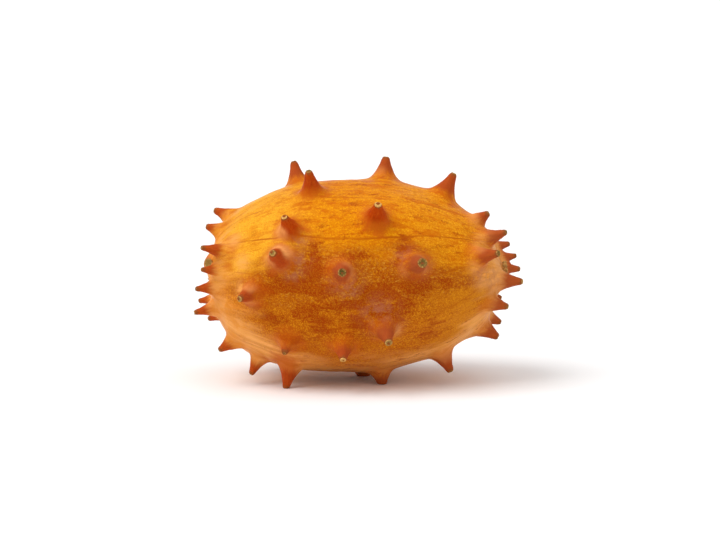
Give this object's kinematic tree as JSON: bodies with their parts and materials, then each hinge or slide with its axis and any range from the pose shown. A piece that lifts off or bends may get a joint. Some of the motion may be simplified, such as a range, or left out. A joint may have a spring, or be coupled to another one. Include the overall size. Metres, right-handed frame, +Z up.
{
  "type": "horned melon",
  "caption": "Ripe horned melon: a blunt oval fruit with a waxy orange rind and flared, cork-tipped horns all over, crowded at both ends.",
  "frame": {"origin": "middle of the bounding box at its base, on the surface that the fruit lies on", "axes": "+X along the fruit's long axis towards the stem end (the axis itself rises 1.8 degrees that way), +Z up, -Y the side with the hand-placed horns"},
  "size_m": [0.1176, 0.0872, 0.0807],
  "materials": {
    "rind": "waxy, half gloss; amber orange, redder round the horns, with dull grey-brown cork tips"
  },
  "bodies": {
    "root": {"horned_melon": "rind"}
  },
  "joints": []
}
